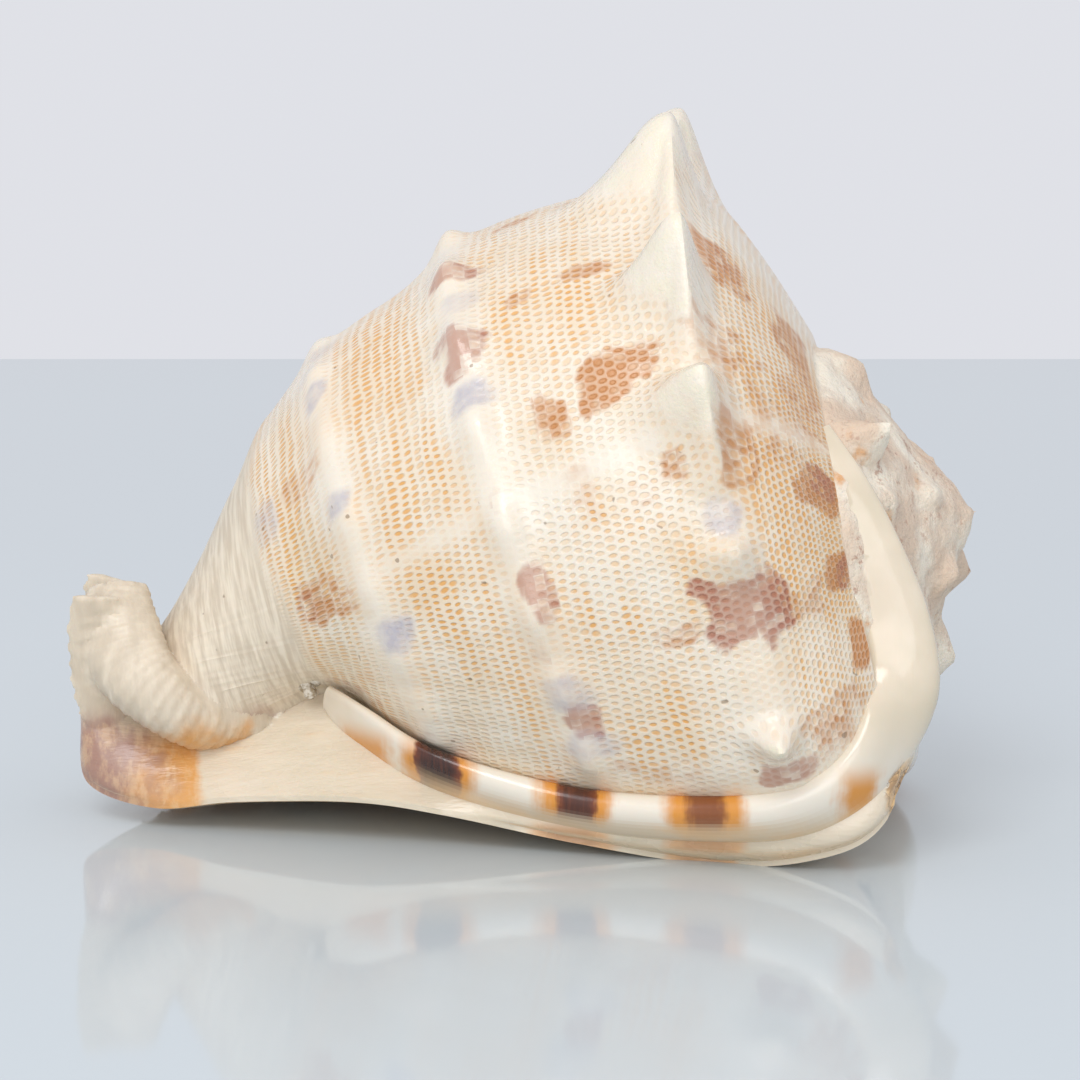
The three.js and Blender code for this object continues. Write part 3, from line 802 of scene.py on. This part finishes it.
def makePitted():
    s = Shader("pittedIvory")
    brown, purple, grey, field, _ = s.attribute("blotches")
    smooth, neck, horn, _, _ = s.attribute("finish")
    _, _, ramp, _, lattice = s.attribute("lattice")
    sway = s.node("ShaderNodeCombineXYZ", {
        "X": s.fit(s.noise(95, 2), 0, 1, -0.5, 0.5), "Y": s.fit(s.noise(110, 2), 0, 1, -0.35, 0.35)})
    swayed = s.node("ShaderNodeVectorMath", {0: lattice, 1: sway.outputs[0]}, operation="ADD").outputs[0]
    parts = s.split(swayed)
    row = s.math("FLOOR", parts[1])
    along = s.plus(parts[0], s.times(row, 0.5))
    cell = s.node("ShaderNodeCombineXYZ", {"X": s.math("FLOOR", along), "Y": row}).outputs[0]
    chance = s.node("ShaderNodeTexWhiteNoise", {"Vector": cell}, noise_dimensions="2D").outputs["Value"]
    x = s.minus(s.math("FRACT", along), 0.5)
    y = s.minus(s.math("FRACT", parts[1]), 0.5)
    x = s.times(x, s.fit(ramp, 0, 1, 3.1, 2.6))
    y = s.times(y, s.fit(ramp, 0, 1, 2.45, 2.5))
    size = s.fit(chance, 0, 1, 0.85, 1.25)
    away = s.times(s.math("SQRT", s.plus(s.times(x, x), s.times(y, y))), size)
    bare = s.minus(1.0, s.math("MAXIMUM", smooth, neck), clamp=True)
    pit = s.times(s.fit(away, 1.2, 0.55), bare)
    cellFill = s.times(s.fit(away, 1.75, 0.9), bare)

    # density of the orange pits, in drifts and in strips, and places where the net between them is white
    strips = s.noise(1, 2, s.scaled(lattice, 0.05, 0.42))
    density = s.plus(s.times(field, 0.70), s.fit(s.noise(26, 3), 0.38, 0.68, 0.06, 0.75), clamp=True)
    density = s.times(density, s.fit(strips, 0.36, 0.64, 0.55, 1.25))
    density = s.times(density, s.fit(chance, 0, 1, 0.75, 1.2), clamp=True)
    net = s.times(s.fit(s.noise(17, 3), 0.50, 0.62), s.minus(1.0, field, clamp=True))
    base = s.mix(s.fit(s.noise(60, 4), 0.35, 0.7), colours["ivory"], colours["enamel"])
    white = s.math("MAXIMUM", s.times(smooth, 0.85), s.times(net, 0.8))
    base = s.mix(white, base, colours["enamel"])
    base = s.mix(s.times(density, 0.30), base, colours["palePit"])
    pitColour = s.mix(density, colours["palePit"], colours["pit"])
    colour = s.mix(s.times(pit, s.fit(density, 0, 0.8, 0.30, 1.0)), base, pitColour)

    # blotches fill whole pits, and stain the net between them less
    ragged = s.plus(s.fit(chance, 0, 1, -0.22, 0.22), s.fit(s.noise(150, 3), 0.3, 0.7, -0.2, 0.2))
    inPit = s.math("MAXIMUM", s.fit(cellFill, 0, 1, 0.68, 1.0), s.times(smooth, 0.8))
    for strength, tone in ((brown, "brown"), (purple, "purple")):
        edge = s.plus(strength, s.times(ragged, strength))
        share = s.times(s.fit(edge, 0.3, 0.95), inPit)
        share = s.times(share, s.fit(horn, 0.85, 0.35))
        colour = s.mix(s.times(share, 0.92, clamp=True), colour, colours[tone])
    stain = s.times(grey, s.fit(s.noise(220, 4), 0.3, 0.7, 0.5, 1.1))
    colour = s.mix(s.times(stain, 0.75, clamp=True), colour, colours["grey"])

    # dull neck with fine growth lines, stained towards the canal
    lines = s.noise(1, 3, s.scaled(lattice, 0.06, 1.7))
    neckTone = s.mix(s.fit(lines, 0.35, 0.65), colours["neck"], colours["bone"])
    neckTone = s.mix(s.fit(s.noise(38, 3), 0.56, 0.75, 0, 0.4), neckTone, colours["canalBrown"])
    at = s.split(s.coords)
    foot = s.plus(at[2], s.fit(s.noise(80, 4), 0, 1, -0.006, 0.006))
    foot = s.times(s.fit(foot, 0.031, 0.021), s.fit(at[0], -0.052, -0.064))
    neckTone = s.mix(s.times(foot, 0.75), neckTone, colours["canalBrown"])
    colour = s.mix(neck, colour, neckTone)
    tipShare = s.times(s.fit(horn, 0.75, 1.0), s.fit(s.noise(240, 3), 0.4, 0.62, 0.05, 0.55))
    colour = s.mix(tipShare, colour, colours["hornTip"])
    pinholes = s.fit(s.noise(330, 1), 0.76, 0.80)
    colour = s.mix(s.times(pinholes, 0.6), colour, colours["dirt"])

    height = s.minus(s.times(lines, s.fit(neck, 0, 1, 0.2, 0.45)), pit)
    normal = s.bump(height, 0.00030, 0.7)
    normal = s.bump(s.noise(700, 3), 0.00008, 0.5, normal)
    gloss = s.plus(s.fit(s.noise(85, 3), 0.3, 0.7, 0.26, 0.40), s.times(neck, 0.25))
    gloss = s.minus(gloss, s.times(smooth, 0.12))
    flakes = s.times(s.noise(260, 5, roughness=0.7), horn)
    normal = s.bump(flakes, 0.0012, 0.5, normal)
    return s.finish(colour, gloss, normal, 0.12, 0.10)


def barShare(s, bars, axisX, width):
    # how far inside a bar this place is, and how dark that bar's middle is
    inside, dark = 0.0, 0.0
    for middle, half, depth in bars:
        distance = s.math("ABSOLUTE", s.minus(axisX, middle * mm))
        share = s.fit(distance, (half + width) * mm, (half - width) * mm)
        inside = s.math("MAXIMUM", inside, share)
        core = s.times(s.fit(distance, half * 0.85 * mm, half * 0.30 * mm), depth)
        dark = s.math("MAXIMUM", dark, core)
    return inside, dark


def makeVarixGloss():
    s = Shader("varixGloss")
    at = s.split(s.coords)
    streaks = s.noise(1, 4, s.stretched(900, 90, 90), 0.6)
    x = s.plus(at[0], s.fit(s.noise(120, 3), 0, 1, -0.0022, 0.0022))
    x = s.plus(x, s.fit(streaks, 0, 1, -0.0008, 0.0008))
    near = s.fit(at[1], 0.002, -0.002)
    nearBars, nearDark = barShare(s, varix["bars"], x, 2.4)
    nearBars = s.times(nearBars, s.fit(at[2], 0.029, 0.021))
    farBars, farDark = barShare(s, lip["bars"], x, 1.2)
    turnedUp = s.times(s.fit(at[2], 0.010, 0.014), s.minus(1.0, near))
    inside = s.plus(s.times(nearBars, near), s.times(farBars, turnedUp))
    dark = s.plus(s.times(nearDark, near), s.times(farDark, turnedUp))
    tone = s.mix(s.fit(s.noise(45, 3), 0.35, 0.7), colours["callus"], colours["ivory"])
    tone = s.mix(s.fit(at[2], 0.040, 0.018), tone, colours["enamel"])
    tone = s.mix(inside, tone, colours["barOrange"])
    tone = s.mix(s.fit(dark, 0.15, 0.6), tone, colours["barRed"])
    darkest = s.times(s.fit(dark, 0.4, 1.0), s.fit(streaks, 0.3, 0.6, 0.6, 1.0))
    tone = s.mix(darkest, tone, colours["barDark"])
    normal = s.bump(s.noise(60, 3), 0.0006, 0.25)
    normal = s.bump(streaks, 0.00008, 0.4, normal)
    return s.finish(brokenTone(s, tone), s.fit(s.noise(150, 3), 0.3, 0.7, 0.13, 0.24), normal, 0.35, 0.12)


def brokenTone(s, tone):
    # tan broken shell with dark cracks and a white flake
    chip = s.attribute("finish")[3]
    grain = s.noise(420, 4, roughness=0.7)
    raw = s.mix(s.fit(grain, 0.40, 0.60), colours["rawTan"], colours["palePit"])
    raw = s.mix(s.fit(s.noise(150, 2), 0.60, 0.64), raw, colours["enamel"])
    fromCrack = s.math("ABSOLUTE", s.minus(s.noise(170, 3), 0.5))
    raw = s.mix(s.fit(fromCrack, 0.012, 0.004, 0, 0.8), raw, colours["dirt"])
    return s.mix(chip, tone, raw)


def stainFoot(s, tone, end=-0.078):
    # purple-brown fan at the canal's foot, turning orange before it ends sharply
    at = s.split(s.coords)
    sway = s.fit(s.noise(90, 4), 0, 1, -0.006, 0.006)
    streaks = s.noise(1, 4, s.stretched(330, 120, 150), 0.65)
    low = s.fit(s.plus(at[2], sway), 0.029, 0.019)
    west = s.fit(s.plus(at[0], s.times(sway, 0.4)), end + 0.0015, end - 0.0015)
    nearSide = s.fit(at[1], 0.004, -0.006)
    share = s.times(s.times(low, west), nearSide)
    fan = s.fit(s.plus(at[0], s.times(sway, 1.6)), -0.096, -0.082)
    stain = s.mix(fan, colours["canalBrown"], colours["canalOrange"])
    stain = s.mix(s.fit(streaks, 0.45, 0.65, 0, 0.45), stain, colours["peach"])
    return s.mix(s.times(share, 0.92), tone, stain)


def makeCallus():
    s = Shader("shieldCallus")
    at = s.split(s.coords)
    wrinkles = s.noise(1, 4, s.stretched(40, 160, 190), 0.6)
    tone = s.mix(s.fit(s.noise(32, 3), 0.3, 0.7), colours["callus"], colours["ivory"])
    tone = s.mix(s.fit(wrinkles, 0.58, 0.72, 0, 0.35), tone, colours["peach"])
    tone = stainFoot(s, tone)
    x = s.plus(at[0], s.fit(s.noise(70, 4), 0, 1, -0.004, 0.004))
    rim, rimDark = barShare(s, shield["rimBars"], x, 2.0)
    low = s.fit(at[2], 0.0095, 0.006)
    tone = s.mix(s.times(low, s.times(rim, 0.55)), tone, colours["barOrange"])
    tone = s.mix(s.times(low, s.times(rimDark, 0.6)), tone, colours["barRed"])
    normal = s.bump(wrinkles, 0.0013, 0.6)
    normal = s.bump(s.noise(500, 3), 0.00005, 0.4, normal)
    return s.finish(brokenTone(s, tone), s.fit(s.noise(90, 3), 0.3, 0.7, 0.20, 0.34), normal, 0.22, 0.12)


def makeWornSpire():
    s = Shader("wornSpire")
    tone = s.mix(s.fit(s.noise(55, 5), 0.38, 0.62), colours["wornPale"], colours["wornPink"])
    specks = s.fit(s.noise(300, 4, roughness=0.7), 0.56, 0.66)
    speckled = s.times(specks, s.fit(s.noise(40, 2), 0.4, 0.65, 0.15, 0.75))
    tone = s.mix(speckled, tone, colours["spireSpeck"])
    tone = s.mix(s.fit(s.noise(90, 4), 0.60, 0.72, 0, 0.7), tone, colours["barOrange"])
    chalk = s.noise(420, 5, roughness=0.7)
    normal = s.bump(chalk, 0.0009, 0.7)
    normal = s.bump(s.noise(130, 5, roughness=0.65), 0.0024, 0.7, normal)
    return s.finish(tone, s.fit(chalk, 0.3, 0.7, 0.5, 0.8), normal, 0.0, 0.06)


def makeCanalBone():
    s = Shader("canalBone")
    lines = s.noise(1, 4, s.stretched(220, 220, 60), 0.6)
    tone = s.mix(s.fit(lines, 0.35, 0.75), colours["bone"], colours["ivory"])
    tone = stainFoot(s, tone, -0.066)
    specks = s.fit(s.noise(170, 2), 0.74, 0.80)
    tone = s.mix(s.times(specks, 0.8), tone, colours["dirt"])
    normal = s.bump(lines, 0.0007, 0.5)
    normal = s.bump(s.noise(350, 4), 0.0002, 0.5, normal)
    return s.finish(tone, s.fit(s.noise(90, 3), 0.3, 0.7, 0.36, 0.55), normal, 0.05, 0.1)


def makeInside():
    s = Shader("insidePeach")
    tone = s.mix(s.fit(s.noise(24, 3), 0.35, 0.7), colours["peach"], colours["underside"])
    normal = s.bump(s.noise(80, 3), 0.0005, 0.3)
    return s.finish(tone, s.fit(s.noise(60, 2), 0.3, 0.7, 0.22, 0.32), normal, 0.15)


def makeGritMaterial():
    s = Shader("gritGrains")
    tone = s.mix(s.fit(s.noise(900, 4), 0.4, 0.62), colours["gritPale"], colours["gritDark"])
    normal = s.bump(s.noise(1600, 4), 0.0003, 0.8)
    return s.finish(tone, s.fit(s.noise(700, 2), 0.3, 0.7, 0.7, 0.95), normal)


materials = {
    "pitted": makePitted(), "callus": makeCallus(), "varix": makeVarixGloss(),
    "spire": makeWornSpire(), "canal": makeCanalBone(), "inside": makeInside(),
}
print("materials made")


# the parts joined into one shell

def makeTableBlock():
    # cuts the resting faces flat
    bm = bmesh.new()
    side = 0.4
    bmesh.ops.create_cube(bm, size=side)
    for vert in bm.verts:
        vert.co.z -= side / 2
    return finishMesh(bm, "tableBlock", "callus")


def softenCreases(bm):
    # the column of the canal grows out of the neck without a crease
    pair = {slots.index("pitted"), slots.index("canal")}
    seam = [e for e in bm.edges if {f.material_index for f in e.link_faces} == pair]
    ring = {v for e in seam for v in e.verts}
    for _ in range(5):
        ring |= {e.other_vert(v) for v in ring for e in v.link_edges}
    for _ in range(14):
        axes = {"use_axis_x": True, "use_axis_y": True, "use_axis_z": True}
        bmesh.ops.smooth_vert(bm, verts=list(ring), factor=0.5, **axes)


def breakRim(bm):
    # a flake is broken off the low corner of the rim
    middle = (Vector(shield["chip"]) + Vector(workShift)) * mm
    for vert in bm.verts:
        distance = (vert.co - middle).length / mm
        if distance < shield["chipSize"]:
            depth = 1.6 * min(1, 1.6 * (1 - distance / shield["chipSize"]))
            rough = 0.7 + 0.6 * noise.noise(vert.co / (2.2 * mm))
            vert.co -= vert.normal * depth * rough * mm


def makeShell():
    target = makeBodyWhorl()
    print("body whorl made")
    tools = [(makeShield(), "UNION"), (makeVarix(), "UNION"), (makeLip(), "UNION")]
    tools += [(makeHollow(), "DIFFERENCE"), (makeSlit(), "DIFFERENCE"), (makeSpire(), "UNION")]
    tools += [(tooth, "UNION") for tooth in makeTeeth()]
    tools += [(makeFrontEnd(), "UNION"), (makeTableBlock(), "DIFFERENCE")]
    print("parts of the shell made")
    for tool, operation in tools:
        combine(target, tool, operation)
    mesh = bakeMesh(target)
    for tool, _ in tools:
        bpy.data.objects.remove(tool)
    bpy.data.objects.remove(target)
    bm = bmesh.new()
    bm.from_mesh(mesh)
    bmesh.ops.remove_doubles(bm, verts=bm.verts, dist=1e-7)
    softenCreases(bm)
    breakRim(bm)
    for edge in bm.edges:
        edge.smooth = len(edge.link_faces) == 2 and edge.calc_face_angle(0) < math.radians(42)
    bm.to_mesh(mesh)
    openEdges = sum(len(e.link_faces) != 2 for e in bm.edges)
    bm.free()
    triangles = sum(len(polygon.vertices) - 2 for polygon in mesh.polygons)
    print("shell joined:", triangles, "triangles,", openEdges, "open edges")
    paintAttributes(mesh)
    return addObject("helmetShell", mesh)


shell = makeShell()
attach(shell, "root")
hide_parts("shell")
print("shell painted")

# grit lodged in the crease beside the neck

grit = {
    # middle of the cluster, then each grain's place from it and its radius
    "middle": (-52.5, -6.5, 34),
    "grains": [(0, 0, 0, 2.2), (2.4, -0.6, 1.4, 1.8), (1.2, -1.2, -1.9, 1.6)],
}


def makeGrit():
    bm = bmesh.new()
    for x, y, z, radius in grit["grains"]:
        made = bmesh.ops.create_icosphere(bm, subdivisions=4, radius=1)
        for vert in made["verts"]:
            lumpy = radius * (1 + 0.22 * noise.noise(vert.co * 1.4 + Vector((x, y, z))))
            point = np.array(vert.co) * lumpy + (x, y, z) + grit["middle"]
            vert.co = (point + workShift) * mm
    mesh = toMesh(bm, "lodgedGrains")
    for polygon in mesh.polygons:
        polygon.use_smooth = True
    mesh.materials.append(makeGritMaterial())
    return addObject("lodgedGrains", mesh)


gritPiece = makeGrit()
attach(gritPiece, "root")
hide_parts("lodged_grit")
print("grit made")

# floor, light and camera

studio = {
    "floor": (0.60, 0.66, 0.69), "backdrop": (0.745, 0.755, 0.80), "floorHalf": 0.902,
    # power in watts, size and place in metres
    "key": (10.3, 0.8, (-0.42, -1.2, 1.4)), "fill": (13.5, 1.5, (-0.25, -2.0, 0.30)),
    "target": (0.004, 0.0015, 0.0665), "elevation": 10.0, "distance": 0.860, "lens": 116.7,
}


def makeFloor():
    bm = bmesh.new()
    bmesh.ops.create_grid(bm, x_segments=1, y_segments=1, size=studio["floorHalf"])
    mesh = toMesh(bm, "paleFloor")
    material = bpy.data.materials.new("paleFloor")
    material.use_nodes = True
    bsdf = material.node_tree.nodes["Principled BSDF"]
    bsdf.inputs["Base Color"].default_value = (*studio["floor"], 1)
    bsdf.inputs["Roughness"].default_value = 0.07
    mesh.materials.append(material)
    addObject("paleFloor", mesh)


def makeLight(name, power, size, place):
    lamp = bpy.data.lights.new(name, "AREA")
    lamp.energy, lamp.size = power, size
    light = addObject(name, lamp)
    light.location = place
    light.rotation_euler = (Vector(studio["target"]) - Vector(place)).to_track_quat("-Z", "Y").to_euler()


def makeCamera():
    camera = bpy.data.cameras.new("camera")
    camera.lens, camera.sensor_width = studio["lens"], 36
    camera.clip_start = 0.01
    holder = addObject("camera", camera)
    elevation = math.radians(studio["elevation"])
    back = Vector((0, -math.cos(elevation), math.sin(elevation))) * studio["distance"]
    holder.location = Vector(studio["target"]) + back
    holder.rotation_euler = (-back).to_track_quat("-Z", "Y").to_euler()
    bpy.context.scene.camera = holder


makeFloor()
for name in ("key", "fill"):
    makeLight(name, *studio[name])
makeCamera()
world = bpy.data.worlds.new("studio")
world.use_nodes = True
world.node_tree.nodes["Background"].inputs["Color"].default_value = (*studio["backdrop"], 1)
world.node_tree.nodes["Background"].inputs["Strength"].default_value = 1.0
bpy.context.scene.world = world
bpy.context.scene.view_settings.view_transform = "Standard"
print("studio made")
